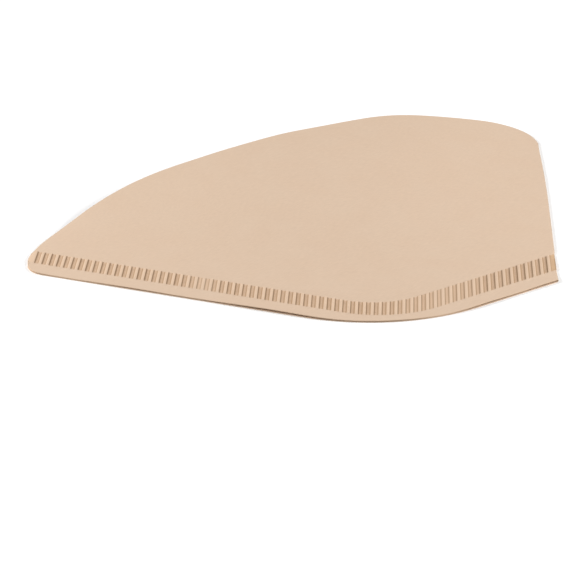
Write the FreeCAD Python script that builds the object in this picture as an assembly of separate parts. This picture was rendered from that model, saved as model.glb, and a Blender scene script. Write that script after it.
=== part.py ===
"""Paper coffee filter for a flat-bottomed cone holder, lying flat as it comes from the pack.

One sheet of filter paper is folded in half. The fold is the right side, and the two plies are pressed
together by rows of short bars, the crimps, along the left side and the bottom. The curved top is the
mouth, which is open, and the upper ply stands a little off the lower one there.

Lengths are millimetres and angles are degrees. X runs across the filter, Y from its bottom edge to its
mouth, and Z up from the surface that it lies on. The origin is the middle of the outline, on that surface.
"""

import FreeCAD, Part
import math
import os

from FreeCAD import Vector

# The paper
PLY = 0.2
PLY_GAP = 0.2
FOLD_OVERHANG = 0.02
MOUTH_GAP = 6.2

# The outline, which both plies share
HEIGHT = 109.5
SIDE_HEIGHT = 80.3
BOTTOM_WIDTH = 51.4
FLARE = 36.7
FOLD_TOP_RADIUS = 16.0
SEAM_TOP_RADIUS = 6.5
SEAM_FOOT_RADIUS = 50.0

# The crimped seam, measured in from the cut edge
SEAM_MARGIN = 5.1
CRIMP_LENGTH = 7.0
BOTTOM_CRIMP_LENGTH = 8.1
CRIMP_CORNER_RADIUS = 28.0
MARGIN_SLIT = 0.06

# One crimp: a groove seen from above, with a ridge on each side of it
CRIMP_PITCH = 2.0
FIRST_CRIMP = 0.96
GROOVE_FLOOR = 0.8
GROOVE_WALL = 0.25
CRIMP_DEPTH = 0.1

# The bulge of the upper ply: how far it takes to rise from each closed side
RISE_FROM_SEAM = 56.0
RISE_FROM_FOLD = 53.0
RISE_FROM_BOTTOM = 93.0

# Room round the outline for cutting tools, the spacing of the points that the bulge is drawn through,
# how near two points in plan count as one, and how often a length is halved in a search
ROOM = 20.0
GRID_STEP = 8.0
NEAR = 0.01
HALVINGS = 40

NODE = "paper_filter"

SIN = math.sin(math.radians(FLARE))
COS = math.cos(math.radians(FLARE))
MOUTH_HALF_WIDTH = BOTTOM_WIDTH / 2 + SIDE_HEIGHT * SIN / COS
MOUTH_RISE = HEIGHT - SIDE_HEIGHT
SEAM_DEPTH = SEAM_MARGIN + CRIMP_LENGTH
BOTTOM_DEPTH = SEAM_MARGIN + BOTTOM_CRIMP_LENGTH
DOUBLE_PLY = 2 * PLY
FOLD_MIDDLE = PLY + PLY_GAP / 2
FOLD_RADIUS = FOLD_MIDDLE + FOLD_OVERHANG
FOLD_FOOT = Vector(BOTTOM_WIDTH / 2, 0, 0)
FOLD_WAY = Vector(SIN, COS, 0)


def from_fold(x, y):
    """Distance of a point from the fold line."""
    return COS * (FOLD_FOOT.x - x) + SIN * y


def from_seam(x, y):
    """Distance of a point from the straight part of the seam side."""
    return COS * (x + FOLD_FOOT.x) + SIN * y


def ease(distance, reach):
    """0 at the start and 1 at the reach, level at both ends, as sprung paper rises."""
    share = min(max(distance / reach, 0.0), 1.0)
    return (1 - math.cos(math.pi * share)) / 2


def bulge(x, y):
    """How far the upper ply stands above its pressed height."""
    seam_share = ease(from_seam(x, y) - SEAM_DEPTH, RISE_FROM_SEAM)
    fold_share = ease(from_fold(x, y), RISE_FROM_FOLD)
    bottom_share = ease(y - BOTTOM_DEPTH, RISE_FROM_BOTTOM)
    return MOUTH_GAP * seam_share * fold_share * bottom_share


def spread(low, high, step):
    """Evenly spaced values from low to high, no further apart than step."""
    count = math.ceil((high - low) / step)
    return [low + (high - low) * i / count for i in range(count + 1)]


def wedge(side_inset, bottom_inset, corner_radius, fold_inset, low, high):
    """Everything inside the two slanted sides and the bottom, each moved in, between two heights.

    It runs on past the mouth, and its corner between the seam side and the bottom is round.
    """
    top = HEIGHT + ROOM
    side_x = -FOLD_FOOT.x + (side_inset - SIN * bottom_inset) / COS
    side_top_x = -FOLD_FOOT.x + (side_inset - SIN * top) / COS
    fold_x = FOLD_FOOT.x - (fold_inset - SIN * bottom_inset) / COS
    fold_top_x = FOLD_FOOT.x - (fold_inset - SIN * top) / COS
    corner = Vector(side_x, bottom_inset, low)
    foot = Vector(fold_x, bottom_inset, low)
    fold_top = Vector(fold_top_x, top, low)
    side_top = Vector(side_top_x, top, low)
    face = Part.Face(Part.makePolygon([corner, foot, fold_top, side_top, corner]))
    solid = face.extrude(Vector(0, 0, high - low))
    return round_upright_edge(solid, corner, corner_radius)


def round_upright_edge(solid, point, radius):
    """Rounds the upright edge that stands at a point, which has both its ends there in plan."""
    edges = []
    for edge in solid.Edges:
        ends = [Vector(v.X, v.Y, point.z) for v in edge.Vertexes]
        if len(ends) == 2 and all(end.isEqual(point, NEAR) for end in ends):
            edges.append(edge)
    return solid.makeFillet(radius, edges)


def round_of_fold_top(ellipse, up):
    """The arc that touches the mouth's ellipse and the fold's side from inside, where the two meet.

    Its centre is found by halving: as far along the fold as keeps it a radius away from the ellipse.
    """
    mouth = Part.ArcOfEllipse(ellipse, 0, math.pi).toShape()
    inward = Vector(-COS, SIN, 0) * FOLD_TOP_RADIUS
    low, high = 0, SIDE_HEIGHT / COS
    for _ in range(HALVINGS):
        on_fold = FOLD_FOOT + up + FOLD_WAY * ((low + high) / 2)
        distance, nearest = mouth.distToShape(Part.Vertex(on_fold + inward))[:2]
        if distance > FOLD_TOP_RADIUS:
            low = (low + high) / 2
        else:
            high = (low + high) / 2
    centre = on_fold + inward
    on_mouth = nearest[0][0]
    outward = (on_mouth - centre).normalize() + (on_fold - centre).normalize()
    on_arc = centre + outward.normalize() * FOLD_TOP_RADIUS
    return ellipse.parameter(on_mouth), on_mouth, on_arc, on_fold


def outline(low, high):
    """The filter's whole outline as an upright prism between two heights.

    The mouth is half an ellipse that stands on the ends of the slanted sides.
    """
    up = Vector(0, 0, low)
    seam_foot = up - FOLD_FOOT
    seam_top = Vector(-MOUTH_HALF_WIDTH, SIDE_HEIGHT, low)
    ellipse = Part.Ellipse(Vector(0, SIDE_HEIGHT, low), MOUTH_HALF_WIDTH, MOUTH_RISE)
    mouth_start, on_mouth, on_arc, on_fold = round_of_fold_top(ellipse, up)
    edges = [
        Part.makeLine(seam_foot, FOLD_FOOT + up),
        Part.makeLine(FOLD_FOOT + up, on_fold),
        Part.Arc(on_fold, on_arc, on_mouth).toShape(),
        Part.ArcOfEllipse(ellipse, mouth_start, math.pi).toShape(),
        Part.makeLine(seam_top, seam_foot),
    ]
    solid = Part.Face(Part.Wire(edges)).extrude(Vector(0, 0, high - low))
    solid = round_upright_edge(solid, seam_top, SEAM_TOP_RADIUS)
    return round_upright_edge(solid, seam_foot, SEAM_FOOT_RADIUS)


def under_bulge(base):
    """Everything below a sheet that stands at base and bulges as the upper ply does."""
    across = spread(-MOUTH_HALF_WIDTH - ROOM / 2, MOUTH_HALF_WIDTH + ROOM / 2, GRID_STEP)
    along = spread(-ROOM / 2, HEIGHT + ROOM / 2, GRID_STEP)
    sheet = Part.BSplineSurface()
    sheet.interpolate([[Vector(x, y, base + bulge(x, y)) for y in along] for x in across])
    return sheet.toShape().extrude(Vector(0, 0, -MOUTH_GAP - ROOM))


def farthest():
    """How far the tip of the mouth's ellipse is from the fold."""
    return from_fold(0, SIDE_HEIGHT) + math.hypot(MOUTH_HALF_WIDTH * COS, MOUTH_RISE * SIN)


def crimp_count():
    """As many whole crimps as fit between the fold and the tip."""
    room = farthest() - FIRST_CRIMP - GROOVE_FLOOR / 2 - GROOVE_WALL
    return int(room / CRIMP_PITCH) + 1


def corrugation():
    """The pressed plies of the seam, as one long corrugated sheet whose folds run parallel to the fold."""
    low_edge = [(0, 0)]
    high_edge = [(0, DOUBLE_PLY)]
    half_floor = GROOVE_FLOOR / 2
    half_groove = half_floor + GROOVE_WALL
    for k in range(crimp_count()):
        middle = FIRST_CRIMP + k * CRIMP_PITCH
        for offset, raised in ((-half_groove, 1), (-half_floor, 0), (half_floor, 0), (half_groove, 1)):
            distance = middle + offset
            low_edge.append((distance, CRIMP_DEPTH * raised))
            high_edge.append((distance, DOUBLE_PLY - CRIMP_DEPTH + 2 * CRIMP_DEPTH * raised))
    low_edge.append((farthest() + ROOM, CRIMP_DEPTH))
    high_edge.append((farthest() + ROOM, DOUBLE_PLY + CRIMP_DEPTH))
    across = Vector(-COS, SIN, 0)
    start = FOLD_FOOT - FOLD_WAY * BOTTOM_WIDTH
    points = [start + across * d + Vector(0, 0, z) for d, z in low_edge + high_edge[::-1]]
    profile = Part.Face(Part.makePolygon(points + points[:1]))
    return profile.extrude(FOLD_WAY * (2 * HEIGHT))


def outside_fold(low, high):
    """What is cut away along the fold to leave its edge round."""
    outer = wedge(-ROOM, -ROOM, ROOM, -ROOM, low, high)
    strip = outer.cut(wedge(-ROOM, -ROOM, ROOM, FOLD_RADIUS, low, high))
    start = FOLD_FOOT + Vector(-COS, SIN, 0) * FOLD_RADIUS + Vector(0, 0, FOLD_MIDDLE)
    edge = Part.makeCylinder(FOLD_RADIUS, 3 * HEIGHT, start - FOLD_WAY * BOTTOM_WIDTH, FOLD_WAY)
    return strip.cut(edge)


def paper_filter():
    """The whole filter as one solid.

    The hollow is cut out of the upper ply before the ply is trimmed to the mouth, so that the cut meets
    no curved wall.
    """
    above = DOUBLE_PLY + PLY_GAP + MOUTH_GAP + 1
    inner_radius = CRIMP_CORNER_RADIUS - CRIMP_LENGTH
    inside_seam = wedge(SEAM_DEPTH, BOTTOM_DEPTH, inner_radius, 0, -1, above)
    inside_margin = wedge(SEAM_MARGIN, SEAM_MARGIN, CRIMP_CORNER_RADIUS, 0, -1, above)
    band = inside_margin.cut(inside_seam)

    room = wedge(SEAM_DEPTH + PLY, BOTTOM_DEPTH + PLY, inner_radius, PLY, PLY, above)
    hollow = under_bulge(PLY + PLY_GAP).common(room)
    mound = wedge(SEAM_DEPTH, BOTTOM_DEPTH, inner_radius, 0, PLY, above)
    upper = under_bulge(DOUBLE_PLY + PLY_GAP).common(mound).cut(hollow)
    lower = outline(0, DOUBLE_PLY).cut(band).cut(room)
    seam = corrugation().common(band).common(outline(-1, above))
    body = lower.multiFuse([seam, upper.common(outline(PLY, above))])

    slit_low = PLY - MARGIN_SLIT / 2
    slit_high = PLY + MARGIN_SLIT / 2
    slit = wedge(-1, -1, 1, PLY, slit_low, slit_high).cut(inside_margin)
    return body.cut(slit).cut(outside_fold(-1, above)).removeSplitter()


def main():
    shape = paper_filter()
    middle = outline(0, PLY).optimalBoundingBox(False, False).Center
    shape.translate(Vector(-middle.x, -middle.y, 0))
    print("crimps", crimp_count(), "solids", len(shape.Solids), "faces", len(shape.Faces))
    print("valid", shape.isValid(), "volume mm3", round(shape.Volume, 1), "box", shape.BoundBox)
    os.makedirs("parts", exist_ok=True)
    shape.Solids[0].exportStep(f"parts/{NODE}.step")


main()
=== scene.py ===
"""Looks of a paper coffee filter that lies flat, as it comes from the pack.

The filter is one sheet of unbleached paper, folded in half and crimped shut along one side and the bottom.
Lengths are metres, written as millimetres times MM. Angles are radians.
"""

import math

import bpy
import numpy as np
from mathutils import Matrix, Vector
from mathutils.bvhtree import BVHTree


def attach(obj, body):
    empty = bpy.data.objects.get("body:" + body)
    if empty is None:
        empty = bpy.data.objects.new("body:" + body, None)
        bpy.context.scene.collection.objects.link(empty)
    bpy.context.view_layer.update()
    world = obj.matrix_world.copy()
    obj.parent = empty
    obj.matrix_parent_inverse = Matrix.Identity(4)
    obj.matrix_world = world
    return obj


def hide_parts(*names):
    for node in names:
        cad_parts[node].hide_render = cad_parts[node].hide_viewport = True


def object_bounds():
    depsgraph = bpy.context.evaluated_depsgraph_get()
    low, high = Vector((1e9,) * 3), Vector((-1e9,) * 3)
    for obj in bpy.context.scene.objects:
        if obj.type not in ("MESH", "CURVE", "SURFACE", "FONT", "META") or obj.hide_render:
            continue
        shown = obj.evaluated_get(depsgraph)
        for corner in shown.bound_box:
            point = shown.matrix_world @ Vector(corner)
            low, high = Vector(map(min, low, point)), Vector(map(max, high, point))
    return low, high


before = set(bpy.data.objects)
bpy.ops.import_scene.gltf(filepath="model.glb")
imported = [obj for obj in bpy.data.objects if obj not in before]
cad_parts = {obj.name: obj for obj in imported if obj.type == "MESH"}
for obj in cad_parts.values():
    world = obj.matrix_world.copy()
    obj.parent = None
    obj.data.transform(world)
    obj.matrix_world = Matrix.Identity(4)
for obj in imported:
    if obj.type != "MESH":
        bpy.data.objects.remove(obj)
cad_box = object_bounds()

# The folded sheet
# One blank of creped filter paper, folded in half along the right side and cut through both plies at once.
# The upper ply springs up from the lower one towards the open mouth.
MM = 0.001
PLY = 0.2 * MM
PLY_GAP = 0.2 * MM
PRESSED_GAP = 0.01 * MM
FLARE = math.radians(36.7)
BOTTOM_WIDTH = 51.4 * MM
SEAM_MARGIN = 5.1 * MM
CRIMP_LENGTH = 7.0 * MM
BOTTOM_CRIMP_LENGTH = 8.1 * MM
CRIMP_CORNER_RADIUS = 28.0 * MM
CRIMP_PITCH = 2.0 * MM
FIRST_CRIMP = 0.96 * MM
CRIMP_COUNT = 69
GROOVE_FLOOR = 0.8 * MM
GROOVE_WALL = 0.25 * MM
CRIMP_END = 0.45 * MM
PRESSURE_WAVE = 1.3 * MM
PRESSURE_LOSS = 0.08
# The middle from the fold, reach and loss of each stretch of the seam that is pressed lightly
LIGHTLY_PRESSED = ((92.0 * MM, 2.6 * MM, 0.36), (31.0 * MM, 10.5 * MM, 0.20))
MOUTH_GAP = 6.2 * MM
# The middle from the fold, reach and rise of each wave of the mouth's edge
MOUTH_WAVES = (
    (132.5 * MM, 4.6 * MM, -0.4 * MM),
    (105.0 * MM, 12.0 * MM, -0.6 * MM),
    (76.0 * MM, 8.0 * MM, 0.3 * MM),
    (31.0 * MM, 10.0 * MM, -0.2 * MM),
)
FOLD_DRAWN_IN = 0.85 * MM
DRAWN_IN_START = 48.0 * MM
DRAWN_IN_LENGTH = 40.0 * MM
DRAWN_IN_REACH = 14.0 * MM
RISE_FROM_SEAM = 56.0 * MM
RISE_FROM_FOLD = 53.0 * MM
RISE_FROM_BOTTOM = 93.0 * MM
PART_FROM_SEAM = 2.0 * MM
MARGIN_LIFT = 0.25 * MM
MARGIN_LIFT_POWER = 1.5
# The length, share and start of each wave of the loose margin
MARGIN_WAVES = ((9.0 * MM, 0.5, 0.0), (3.7 * MM, 0.4, 1.0))
MARGIN_ROWS = 4
CRIMP_ROWS = 3
BODY_ROWS = 30
BODY_ROW_CROWDING = 1.6
FOLD_SEGMENTS = 6
RAY_HEIGHT = PLY / 2
RAY_REACH = 400 * MM
TIP_CUT = 0.03 * MM
ROWS_APART = 0.01 * MM

SIN = math.sin(FLARE)
COS = math.cos(FLARE)
SIN_2 = math.sin(2 * FLARE)
COS_2 = math.cos(2 * FLARE)
SEAM_DEPTH = SEAM_MARGIN + CRIMP_LENGTH
BOTTOM_DEPTH = SEAM_MARGIN + BOTTOM_CRIMP_LENGTH

cad_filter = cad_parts["paper_filter"]
corners = [v.co.copy() for v in cad_filter.data.vertices]
faces = [p.vertices[:] for p in cad_filter.data.polygons]
outline_tree = BVHTree.FromPolygons(corners, faces)
bottom_y = min(c.y for c in corners)
fold_x = max(c.x - math.tan(FLARE) * (c.y - bottom_y) for c in corners)


def in_plan(distance, along):
    """The point at a distance from the fold line and along it, counted from the filter's bottom edge."""
    x = fold_x - distance * COS + along * SIN
    y = bottom_y + distance * SIN + along * COS
    return x, y


def ease(distance, reach):
    """0 at the start and 1 at the reach, level at both ends, as sprung paper rises."""
    share = np.clip(distance / reach, 0, 1)
    return (1 - np.cos(math.pi * share)) / 2


def seam_line(distance, side_inset, bottom_inset, radius):
    """How far along the fold's direction the seam's edge lies, at a distance from the fold.

    The edge runs along the bottom and then up the side, moved in by an inset on each, with a round corner.
    """
    bottom = (bottom_inset - distance * SIN) / COS
    side = (side_inset + distance * COS_2 - BOTTOM_WIDTH * COS) / SIN_2
    centre_up = bottom_inset + radius
    centre_in = BOTTOM_WIDTH - (side_inset + radius - SIN * centre_up) / COS
    centre_distance = centre_in * COS + centre_up * SIN
    centre_along = centre_up * COS - centre_in * SIN
    offset = np.clip(distance - centre_distance, -radius, radius)
    corner = centre_along - np.sqrt(radius**2 - offset**2)
    in_corner = (offset > -radius * SIN) & (offset < radius * COS_2)
    return np.where(in_corner, corner, np.maximum(bottom, side))


def cut_edge(distance, start, way):
    """Where a line parallel to the fold, from start in the direction way, meets the CAD outline."""
    origin = Vector((*in_plan(distance, start), RAY_HEIGHT))
    hit = outline_tree.ray_cast(origin, Vector((way * SIN, way * COS, 0)))[0]
    return start + way * (hit - origin).length


tip = max(COS * (fold_x - c.x) + SIN * (c.y - bottom_y) for c in corners) - TIP_CUT

# Columns run parallel to the fold, so that the edges of every crimp fall on columns
fold_radius = (PLY + PLY_GAP) / 2
first_column = PLY / 2 + fold_radius
half_floor = GROOVE_FLOOR / 2
half_groove = half_floor + GROOVE_WALL
crimp_steps = np.array([-half_groove, -half_floor, 0, half_floor, half_groove, CRIMP_PITCH / 2])
crimp_middles = FIRST_CRIMP + CRIMP_PITCH * np.arange(-1, CRIMP_COUNT + 1)
last_ridge = FIRST_CRIMP + CRIMP_PITCH * (CRIMP_COUNT - 0.5)
columns = (crimp_middles[:, None] + crimp_steps[None, :]).ravel()
columns = columns[(columns > first_column + TIP_CUT) & (columns < tip - TIP_CUT)]
columns = np.concatenate([[first_column], columns, [tip]])

near_edge = np.array([cut_edge(c, -RAY_REACH, 1) for c in columns])
mouth_edge = np.array([cut_edge(c, RAY_REACH, -1) for c in columns])
crimp_start = seam_line(columns, SEAM_MARGIN, SEAM_MARGIN, CRIMP_CORNER_RADIUS)
crimp_end = seam_line(columns, SEAM_DEPTH, BOTTOM_DEPTH, CRIMP_CORNER_RADIUS - CRIMP_LENGTH)

rows = [near_edge + (crimp_start - near_edge) * i / MARGIN_ROWS for i in range(MARGIN_ROWS)]
rows += [crimp_start]
inner_start = crimp_start + CRIMP_END
inner_end = crimp_end - CRIMP_END
rows += [inner_start + (inner_end - inner_start) * i / CRIMP_ROWS for i in range(CRIMP_ROWS + 1)]
rows += [crimp_end]
body_start = np.minimum(crimp_end, mouth_edge)
for i in range(1, BODY_ROWS + 1):
    rows.append(body_start + (mouth_edge - body_start) * (i / BODY_ROWS) ** BODY_ROW_CROWDING)
rows_apart = ROWS_APART * np.arange(len(rows))[:, None]
along = np.clip(np.array(rows), near_edge + rows_apart, mouth_edge - rows_apart[::-1])
distance = np.broadcast_to(columns, along.shape)
x, y = in_plan(distance, along)

# How far the plies stand apart, and how much of a crimp each point has
from_seam = COS * (x - fold_x + BOTTOM_WIDTH) + SIN * (y - bottom_y)
bulge = MOUTH_GAP * ease(from_seam - SEAM_DEPTH, RISE_FROM_SEAM) * ease(distance, RISE_FROM_FOLD)
bulge *= ease(y - bottom_y - BOTTOM_DEPTH, RISE_FROM_BOTTOM)
parted = ease(along - crimp_end, PART_FROM_SEAM)
loose = np.clip((crimp_start - along) / SEAM_MARGIN, 0, 1)
apart = PLY + PRESSED_GAP + parted * (PLY_GAP - PRESSED_GAP + bulge)
to_mouth = np.clip((along - crimp_end) / np.maximum(mouth_edge - crimp_end, MM), 0, 1)
for middle, reach, rise in MOUTH_WAVES:
    apart += rise * to_mouth**2 * np.exp(-(((distance - middle) / reach) ** 2))
apart = np.maximum(apart, PLY + PRESSED_GAP)
margin_lift = MARGIN_LIFT * loose**MARGIN_LIFT_POWER
apart += margin_lift
for length, share, start in MARGIN_WAVES:
    apart += margin_lift * share * np.sin(x / length + start)
crimped = np.clip(np.minimum(along - crimp_start, crimp_end - along) / CRIMP_END, 0, 1)
crimped *= 1 - PRESSURE_LOSS * (1 - np.sin(distance / PRESSURE_WAVE)) / 2
for middle, reach, loss in LIGHTLY_PRESSED:
    crimped *= 1 - loss * np.exp(-(((distance - middle) / reach) ** 2))

# The blank as one grid: the upper ply, round the fold, and back as the lower ply
lower_z = np.full(x.shape, PLY / 2)
upper_z = lower_z + apart
grid_x, grid_y, grid_z = [x[:, ::-1]], [y[:, ::-1]], [upper_z[:, ::-1]]
grid_from_fold, grid_crimped, grid_upper = [distance[:, ::-1]], [crimped[:, ::-1]], [np.ones(x.shape)]
fold_along = along[:, :1]
up_fold = (fold_along - fold_along[0]) / (fold_along[-1] - fold_along[0])
for i in range(1, FOLD_SEGMENTS):
    angle = math.pi * i / FOLD_SEGMENTS
    radius = apart[:, :1] / 2
    round_distance = first_column - radius * math.sin(angle)
    square_to_bottom = (first_column - round_distance) * math.tan(FLARE) * (1 - up_fold)
    round_x, round_y = in_plan(round_distance, fold_along + square_to_bottom)
    grid_x.append(round_x)
    grid_y.append(round_y)
    grid_z.append(lower_z[:, :1] + radius * (1 + math.cos(angle)))
    grid_from_fold.append(round_distance)
    grid_crimped.append(crimped[:, :1])
    grid_upper.append(np.full(round_x.shape, 1 - i / FOLD_SEGMENTS))
grid_x, grid_y, grid_z = np.hstack(grid_x + [x]), np.hstack(grid_y + [y]), np.hstack(grid_z + [lower_z])

# The sprung mouth draws the top of the fold in a little
in_from_fold = COS * (fold_x - grid_x) + SIN * (grid_y - bottom_y)
up_the_fold = SIN * (grid_x - fold_x) + COS * (grid_y - bottom_y)
drawn_in = FOLD_DRAWN_IN * np.clip((up_the_fold - DRAWN_IN_START) / DRAWN_IN_LENGTH, 0, 1) ** 2
drawn_in *= np.clip(1 - in_from_fold / DRAWN_IN_REACH, 0, 1) ** 2
grid_x -= drawn_in * COS
grid_y += drawn_in * SIN
points = np.stack([grid_x, grid_y, grid_z], axis=-1).reshape(-1, 3)

row_count, column_count = grid_x.shape
index = np.arange(row_count * column_count).reshape(row_count, column_count)
quads = np.stack([index[:-1, :-1], index[1:, :-1], index[1:, 1:], index[:-1, 1:]], axis=-1).reshape(-1, 4)
blank = bpy.data.meshes.new("filter_paper")
blank.from_pydata(points.tolist(), [], quads.tolist())
fields = {
    "from_fold": [np.minimum(part, last_ridge) for part in grid_from_fold + [distance]],
    "crimped": grid_crimped + [crimped],
    "upper": grid_upper + [np.zeros(x.shape)],
}
for name, parts in fields.items():
    attribute = blank.attributes.new(name, "FLOAT", "POINT")
    attribute.data.foreach_set("value", np.hstack(parts).ravel().astype(np.float32))
blank.update()
sheet = bpy.data.objects.new("filter_sheet", blank)
bpy.context.scene.collection.objects.link(sheet)

# The paper
# Unbleached fibre, matt and light brown, with a cloudy formation, stray fibres and a finely creped face.
# The walls and floors of the crimps are painted darker, as painted shade in the grooves, and the ridges
# lighter, as a painted highlight. The fold's round strip is painted grey, as painted shade.
PAPER_COLOUR = (0.610, 0.456, 0.336, 1)
CLOUD_COLOUR = (0.614, 0.464, 0.345, 1)
# The ridge colour is a painted highlight, lighter than the paper.
RIDGE_HIGHLIGHT_COLOUR = (0.662, 0.485, 0.346, 1)
# The groove floor and both wall colours are painted shade in the crimps' grooves.
GROOVE_SHADE_COLOUR = (0.625, 0.434, 0.290, 1)
DARK_WALL_SHADE_COLOUR = (0.205, 0.115, 0.058, 1)
PALE_WALL_SHADE_COLOUR = (0.370, 0.216, 0.116, 1)
FOLD_CRIMP_COLOUR = (0.625, 0.420, 0.255, 1)
EDGE_COLOUR = (0.605, 0.430, 0.298, 1)
# The fold colour is painted shade on the fold's round strip.
FOLD_SHADE_COLOUR = (0.430, 0.345, 0.265, 1)
CLOUD_SIZE = 9 * MM
CLOUD_DETAIL = 3
FIBRE_LENGTH = 1.6 * MM
FIBRE_WIDTH = 0.16 * MM
FIBRE_TURNS = (0.4, 1.5, 2.6)
FIBRE_SHADE = 0.02
CREPE_SIZE = 0.45 * MM
CREPE_DETAIL = 4
CREPE_HEIGHT = 0.012 * MM
# Where the colours of a crimp lie, as shares of the way from its middle to the ridge beside it
FLOOR_ENDS = 0.22
WALL_MIDDLE = 0.52
RIDGE_STARTS = 0.68
# How softly the painted shade passes from the paler wall ramp to the darker one
SHADE_SIDE_BLEND = 0.45
# The crimps near the fold are coloured a little darker
NEAR_FOLD_SHADE = 0.94
NEAR_FOLD_FULL = 14 * MM
NEAR_FOLD_END = 28 * MM

paper = bpy.data.materials.new("filter_paper")
paper.use_nodes = True
nodes, links = paper.node_tree.nodes, paper.node_tree.links
shader = nodes["Principled BSDF"]
shader.inputs["Roughness"].default_value = 0.92
shader.inputs["Specular IOR Level"].default_value = 0.18
place = nodes.new("ShaderNodeTexCoord")


def cloud(size, detail, stretch=(1, 1, 1), turn=0.0):
    """Noise on the paper whose features are about size across, stretched by stretch and turned about Z."""
    mapping = nodes.new("ShaderNodeMapping")
    mapping.inputs["Rotation"].default_value = (0, 0, turn)
    mapping.inputs["Scale"].default_value = stretch
    links.new(place.outputs["Object"], mapping.inputs["Vector"])
    noise = nodes.new("ShaderNodeTexNoise")
    noise.inputs["Scale"].default_value = 1 / size
    noise.inputs["Detail"].default_value = detail
    links.new(mapping.outputs["Vector"], noise.inputs["Vector"])
    return noise.outputs["Fac"]


def ranged(value, low, high, to_low, to_high):
    """A value carried from one range to another, and held at its ends."""
    node = nodes.new("ShaderNodeMapRange")
    for name, number in (("From Min", low), ("From Max", high), ("To Min", to_low), ("To Max", to_high)):
        node.inputs[name].default_value = number
    links.new(value, node.inputs["Value"])
    return node.outputs["Result"]


def blended(share, first, second, mode="MIX"):
    """Two colours mixed by a share. Each colour is a socket or a plain colour."""
    node = nodes.new("ShaderNodeMix")
    node.data_type = "RGBA"
    node.blend_type = mode
    for socket, colour in ((node.inputs[6], first), (node.inputs[7], second)):
        if isinstance(colour, tuple):
            socket.default_value = colour
        else:
            links.new(colour, socket)
    if isinstance(share, float):
        node.inputs[0].default_value = share
    else:
        links.new(share, node.inputs[0])
    return node.outputs[2]


def reading(name):
    """One of the sheet's own attributes."""
    node = nodes.new("ShaderNodeAttribute")
    node.attribute_name = name
    return node.outputs["Fac"]


formation = ranged(cloud(CLOUD_SIZE, CLOUD_DETAIL), 0.35, 0.65, 0, 1)
colour = blended(formation, PAPER_COLOUR, CLOUD_COLOUR)
fibre_stretch = (FIBRE_WIDTH / FIBRE_LENGTH, 1, 1)
for turn in FIBRE_TURNS:
    fibre = ranged(cloud(FIBRE_WIDTH, 1, fibre_stretch, turn), 0.3, 0.7, 1 - FIBRE_SHADE, 1 + FIBRE_SHADE)
    colour = blended(1.0, colour, fibre, "MULTIPLY")
# Each ramp paints shade into a groove's floor and walls and a highlight onto its ridges: one with paler
# painted shade on the walls, one with darker.
wall_shade_sides = []
for wall_shade in (PALE_WALL_SHADE_COLOUR, DARK_WALL_SHADE_COLOUR):
    shade_profile = nodes.new("ShaderNodeValToRGB")
    stops = shade_profile.color_ramp.elements
    stops[0].position = FLOOR_ENDS
    stops[0].color = GROOVE_SHADE_COLOUR
    stops[1].position = RIDGE_STARTS
    stops[1].color = RIDGE_HIGHLIGHT_COLOUR
    stops.new(WALL_MIDDLE).color = wall_shade
    links.new(reading("from_middle"), shade_profile.inputs["Fac"])
    wall_shade_sides.append(shade_profile.outputs["Color"])
# The darker painted shade goes on the wall turned from the nearer soft box.
crimp_shading = blended(ranged(reading("shade_side"), -SHADE_SIDE_BLEND, SHADE_SIDE_BLEND, 0, 1), *wall_shade_sides)
at_fold = ranged(reading("from_fold"), FIRST_CRIMP, FIRST_CRIMP + half_groove, 1, 0)
crimp_shading = blended(at_fold, crimp_shading, FOLD_CRIMP_COLOUR)
near_fold = ranged(reading("from_fold"), NEAR_FOLD_FULL, NEAR_FOLD_END, NEAR_FOLD_SHADE, 1)
crimp_shading = blended(1.0, crimp_shading, near_fold, "MULTIPLY")
colour = blended(reading("crimped"), colour, crimp_shading)
# Painted shade: the fold's round strip is coloured darker grey.
fold_shade = ranged(reading("from_fold"), first_column - fold_radius, first_column, 1, 0)
colour = blended(fold_shade, colour, FOLD_SHADE_COLOUR)
colour = blended(reading("cut_edge"), colour, EDGE_COLOUR)
links.new(colour, shader.inputs["Base Color"])
crepe = nodes.new("ShaderNodeBump")
crepe.inputs["Strength"].default_value = 1.0
crepe.inputs["Distance"].default_value = CREPE_HEIGHT
links.new(cloud(CREPE_SIZE, CREPE_DETAIL), crepe.inputs["Height"])
links.new(crepe.outputs["Normal"], shader.inputs["Normal"])

# The crimps
# A toothed wheel presses the two plies together into short bars, all square to its axle and evenly spaced.
# The grooves are pressed thinner than the ridges, and the plies nest in one another. One wall of each
# groove is painted darker than the other, as painted shade on the wall turned from the nearer soft box;
# near the fold the darker wall swaps sides.
CRIMP_RISE = 0.2 * MM
PRESS = 0.25
# Where the darker painted shade swaps walls, as a distance from the fold, and how far the swap takes
SHADE_SWAP_START = 27 * MM
SHADE_SWAP_REACH = 12 * MM
SAME_POINT = 0.001 * MM

crimping = bpy.data.node_groups.new("crimping", "GeometryNodeTree")
crimping.is_modifier = True
face = crimping.interface
face.new_socket("Geometry", in_out="INPUT", socket_type="NodeSocketGeometry")
face.new_socket("Geometry", in_out="OUTPUT", socket_type="NodeSocketGeometry")
crimp_sizes = {
    "Pitch": CRIMP_PITCH,
    "First Crimp": FIRST_CRIMP,
    "Half Floor": half_floor,
    "Half Groove": half_groove,
    "Rise": CRIMP_RISE,
    "Press": PRESS,
    "Ply": PLY,
    "Shade Swap Start": SHADE_SWAP_START,
    "Shade Swap Reach": SHADE_SWAP_REACH,
}
sockets = {}
for name in crimp_sizes:
    sockets[name] = face.new_socket(name, in_out="INPUT", socket_type="NodeSocketFloat")
given = crimping.nodes.new("NodeGroupInput")
made = crimping.nodes.new("NodeGroupOutput")


def feed(socket, value):
    """Sets a node's socket to a number, or links it to another node's output."""
    if isinstance(value, (int, float)):
        socket.default_value = value
    else:
        crimping.links.new(value, socket)


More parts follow.
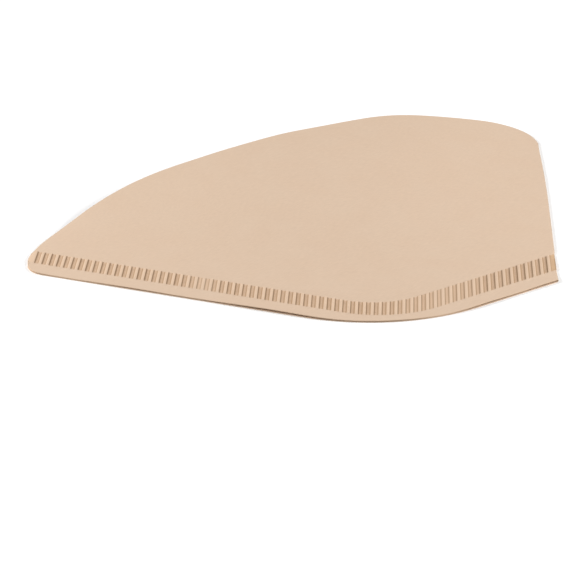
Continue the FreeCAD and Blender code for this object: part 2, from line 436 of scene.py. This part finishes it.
def sum_of(operation, *values):
    """The outcome of one arithmetic node."""
    node = crimping.nodes.new("ShaderNodeMath")
    node.operation = operation
    for socket, value in zip(node.inputs, values):
        feed(socket, value)
    return node.outputs[0]


def named(name):
    """One of the sheet's own attributes."""
    node = crimping.nodes.new("GeometryNodeInputNamedAttribute")
    node.inputs["Name"].default_value = name
    return node.outputs["Attribute"]


def kept(geometry, name, domain, value):
    """The geometry with a value stored on it under a name."""
    node = crimping.nodes.new("GeometryNodeStoreNamedAttribute")
    node.domain = domain
    node.inputs["Name"].default_value = name
    feed(node.inputs["Geometry"], geometry)
    feed(node.inputs["Value"], value)
    return node.outputs["Geometry"]


half_pitch = sum_of("DIVIDE", given.outputs["Pitch"], 2.0)
offset_in_pitch = sum_of("SUBTRACT", named("from_fold"), given.outputs["First Crimp"])
wrapped = sum_of("WRAP", offset_in_pitch, half_pitch, sum_of("MULTIPLY", half_pitch, -1.0))
from_middle = sum_of("ABSOLUTE", wrapped)
wall = sum_of("SUBTRACT", given.outputs["Half Groove"], given.outputs["Half Floor"])
spacing = sum_of("DIVIDE", from_middle, half_pitch)
climb = sum_of("DIVIDE", sum_of("SUBTRACT", from_middle, given.outputs["Half Floor"]), wall)
raised = sum_of("MINIMUM", sum_of("MAXIMUM", climb, 0.0), 1.0)
sunk = sum_of("SUBTRACT", 1.0, raised)
pressed = sum_of("MULTIPLY", sum_of("MULTIPLY", sunk, given.outputs["Press"]), named("crimped"))
thinned = sum_of("MULTIPLY", pressed, given.outputs["Ply"])
plies_below = sum_of("ADD", named("upper"), 0.5)
drop = sum_of("MULTIPLY", thinned, plies_below)
lift = sum_of("MULTIPLY", sum_of("MULTIPLY", raised, given.outputs["Rise"]), named("crimped"))
thickness = sum_of("SUBTRACT", given.outputs["Ply"], thinned)
# Which wall of each groove gets the darker painted shade, swapping sides near the fold
past_start = sum_of("SUBTRACT", named("from_fold"), given.outputs["Shade Swap Start"])
light_side_sign = sum_of("DIVIDE", past_start, given.outputs["Shade Swap Reach"])
light_side_sign = sum_of("MINIMUM", sum_of("MAXIMUM", light_side_sign, -1.0), 1.0)
shade_side = sum_of("MULTIPLY", sum_of("DIVIDE", wrapped, half_pitch), light_side_sign)

embossed = crimping.nodes.new("GeometryNodeSetPosition")
shift = crimping.nodes.new("ShaderNodeCombineXYZ")
feed(shift.inputs["Z"], sum_of("SUBTRACT", lift, drop))
spaced = kept(given.outputs["Geometry"], "from_middle", "POINT", spacing)
feed(embossed.inputs["Geometry"], kept(spaced, "shade_side", "POINT", shade_side))
feed(embossed.inputs["Offset"], shift.outputs["Vector"])

outer = crimping.nodes.new("GeometryNodeSetPosition")
normal = crimping.nodes.new("GeometryNodeInputNormal")
outward = crimping.nodes.new("ShaderNodeVectorMath")
outward.operation = "SCALE"
feed(outward.inputs[0], normal.outputs["Normal"])
feed(outward.inputs["Scale"], sum_of("DIVIDE", thickness, 2.0))
feed(outer.inputs["Geometry"], embossed.outputs["Geometry"])
feed(outer.inputs["Offset"], outward.outputs["Vector"])

inner = crimping.nodes.new("GeometryNodeExtrudeMesh")
inner.inputs["Individual"].default_value = False
feed(inner.inputs["Mesh"], outer.outputs["Geometry"])
feed(inner.inputs["Offset Scale"], sum_of("MULTIPLY", thickness, -1.0))
rimmed = kept(inner.outputs["Mesh"], "cut_edge", "FACE", inner.outputs["Side"])
turned = crimping.nodes.new("GeometryNodeFlipFaces")
feed(turned.inputs["Mesh"], rimmed)
both_faces = crimping.nodes.new("GeometryNodeJoinGeometry")
feed(both_faces.inputs["Geometry"], outer.outputs["Geometry"])
feed(both_faces.inputs["Geometry"], turned.outputs["Mesh"])
closed = crimping.nodes.new("GeometryNodeMergeByDistance")
closed.inputs["Distance"].default_value = SAME_POINT
feed(closed.inputs["Geometry"], both_faces.outputs["Geometry"])
real = crimping.nodes.new("GeometryNodeRealizeInstances")
feed(real.inputs["Geometry"], closed.outputs["Geometry"])
finished = crimping.nodes.new("GeometryNodeSetMaterial")
finished.inputs["Material"].default_value = paper
feed(finished.inputs["Geometry"], real.outputs["Geometry"])
feed(made.inputs["Geometry"], finished.outputs["Geometry"])

modifier = sheet.modifiers.new("crimping", "NODES")
modifier.node_group = crimping
for name, size in crimp_sizes.items():
    modifier[sockets[name].identifier] = size
depsgraph = bpy.context.evaluated_depsgraph_get()
pressed_mesh = bpy.data.meshes.new_from_object(sheet.evaluated_get(depsgraph))
sheet.modifiers.remove(modifier)
sheet.data = pressed_mesh

# The cut edges are square, and everything else is smooth
on_cut = np.zeros(len(pressed_mesh.polygons), dtype=np.float32)
pressed_mesh.attributes["cut_edge"].data.foreach_get("value", on_cut)
on_cut = on_cut > 0.5
pressed_mesh.polygons.foreach_set("use_smooth", ~on_cut)
corner_edges = np.zeros(len(pressed_mesh.loops), dtype=np.int32)
pressed_mesh.loops.foreach_get("edge_index", corner_edges)
square = np.zeros(len(pressed_mesh.edges), dtype=bool)
square[corner_edges[np.repeat(on_cut, [p.loop_total for p in pressed_mesh.polygons])]] = True
pressed_mesh.edges.foreach_set("use_edge_sharp", square)
pressed_mesh.update()
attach(sheet, "root")
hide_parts("paper_filter")

# The floor
# A plain pale sheet that the filter lies on, larger than the view.
FLOOR_WIDTH = 3.0
FLOOR_WHITE = (0.96, 0.96, 0.96, 1)
bpy.ops.mesh.primitive_plane_add(size=FLOOR_WIDTH, location=(0, 0, cad_box[0][2]))
floor = bpy.context.object
floor.name = "floor"
floor_white = bpy.data.materials.new("floor_white")
floor_white.use_nodes = True
floor_shader = floor_white.node_tree.nodes["Principled BSDF"]
floor_shader.inputs["Base Color"].default_value = FLOOR_WHITE
floor_shader.inputs["Roughness"].default_value = 0.9
floor_shader.inputs["Specular IOR Level"].default_value = 0.1
floor.data.materials.append(floor_white)

# The light
# Two soft boxes, one on each side of the table, and an even white surround.
SURROUND_STRENGTH = 0.308
SOFT_BOX_LENGTH = 0.40
SOFT_BOX_WIDTH = 0.26
SOFT_BOX_HEIGHT = 0.26
# Where each soft box stands across the table and along it, and its power in watts
SOFT_BOXES = {"left": (-0.42, 0.31, 3.62), "right": (0.42, -0.31, 3.77)}
surround = bpy.data.worlds.new("surround")
bpy.context.scene.world = surround
surround.use_nodes = True
surround.node_tree.nodes["Background"].inputs["Color"].default_value = (1, 1, 1, 1)
surround.node_tree.nodes["Background"].inputs["Strength"].default_value = SURROUND_STRENGTH

for side, (box_x, box_y, power) in SOFT_BOXES.items():
    soft_box = bpy.data.objects.new(f"soft_box_{side}", bpy.data.lights.new(f"soft_box_{side}", "AREA"))
    soft_box.data.shape = "RECTANGLE"
    soft_box.data.size = SOFT_BOX_LENGTH
    soft_box.data.size_y = SOFT_BOX_WIDTH
    soft_box.data.energy = power
    soft_box.location = (box_x, box_y, SOFT_BOX_HEIGHT)
    aim = Vector((0, 0, 0)) - soft_box.location
    soft_box.rotation_euler = aim.to_track_quat("-Z", "Y").to_euler()
    bpy.context.scene.collection.objects.link(soft_box)
bpy.context.scene.view_settings.view_transform = "Standard"

# The camera
# It looks at the sheet from the front left of the crimped seam, as in the photograph.
VIEW_AZIMUTH = math.radians(-33.76)
VIEW_HEIGHT = math.radians(26.39)
VIEW_DISTANCE = 587.8 * MM
VIEW_TARGET = Vector((fold_x - 60.3 * MM, bottom_y + 36.1 * MM, 0))
IMAGE_WIDTH = 576
FOCAL_PIXELS = 2275.0
SENSOR_WIDTH = 36.0

camera = bpy.data.objects.new("camera", bpy.data.cameras.new("camera"))
camera.data.sensor_width = SENSOR_WIDTH
camera.data.lens = FOCAL_PIXELS / IMAGE_WIDTH * SENSOR_WIDTH
level = math.cos(VIEW_HEIGHT)
to_right = math.sin(VIEW_AZIMUTH) * level
to_front = -math.cos(VIEW_AZIMUTH) * level
towards_camera = Vector((to_right, to_front, math.sin(VIEW_HEIGHT)))
camera.location = VIEW_TARGET + towards_camera * VIEW_DISTANCE
camera.rotation_euler = (-towards_camera).to_track_quat("-Z", "Y").to_euler()
bpy.context.scene.collection.objects.link(camera)
bpy.context.scene.camera = camera
